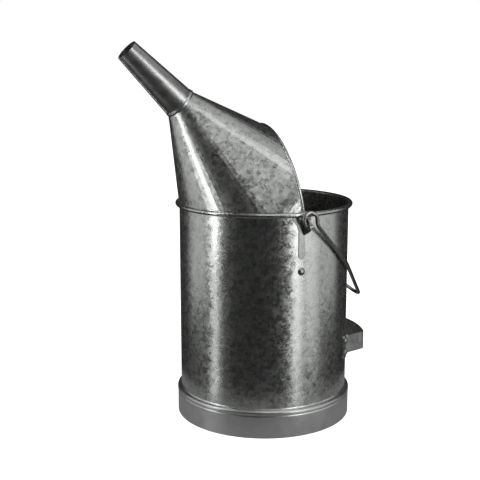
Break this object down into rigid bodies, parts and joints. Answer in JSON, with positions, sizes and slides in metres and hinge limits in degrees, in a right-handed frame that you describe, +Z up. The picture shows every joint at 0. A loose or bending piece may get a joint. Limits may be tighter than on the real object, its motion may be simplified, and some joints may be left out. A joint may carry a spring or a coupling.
{
  "type": "spouted pouring can",
  "caption": "Tall round galvanised steel can with a half-open conical hood and slanted tapering nozzle, a swinging wire bail and a riveted rear tipping grip.",
  "frame": {"origin": "on the can's axis, in the plane the foot band stands on", "axes": "+Z up along the can's axis; the spout points to -X and the tipping grip sits at +X; the ears are at -Y and +Y"},
  "size_m": [0.3051, 0.2326, 0.44],
  "materials": {
    "body_sheet": "galvanised, mottled spangle",
    "inner_wire": "plain wire, enclosed",
    "bottom_sheet": "galvanised, mottled spangle",
    "solder": "satin soft solder",
    "band_sheet": "galvanised, smooth",
    "hood_sheet": "galvanised, mottled spangle",
    "edge_roll": "galvanised, rubbed bright",
    "collar_sheet": "galvanised, mottled spangle",
    "nozzle_sheet": "galvanised, smooth",
    "ear_sheet": "galvanised, dull",
    "rivet_steel": "dull plated",
    "bail_wire": "dull galvanised wire",
    "grip_sheet": "galvanised, mottled spangle"
  },
  "bodies": {
    "can": {"body_shell": "body_sheet", "rim_wire": "inner_wire", "bottom_disc": "bottom_sheet", "bottom_solder": "solder", "foot_band": "band_sheet", "foot_solder": "solder", "hood": "hood_sheet", "hood_edge_wire": "inner_wire", "hood_edge_roll": "edge_roll", "hood_collar": "collar_sheet", "hood_solder": "solder", "nozzle": "nozzle_sheet", "neck_solder": "solder", "ear_left": "ear_sheet", "ear_right": "ear_sheet", "side_rivets": "rivet_steel", "grip": "grip_sheet", "grip_rivets": "rivet_steel"},
    "bail": {"bail": "bail_wire"}
  },
  "joints": [
    {"name": "bail_swing", "type": "hinge", "parent": "can", "child": "bail", "pos_m": [0.0055, 0, 0.25], "axis": [0, -1, 0], "range_deg": [0, 134]}
  ]
}
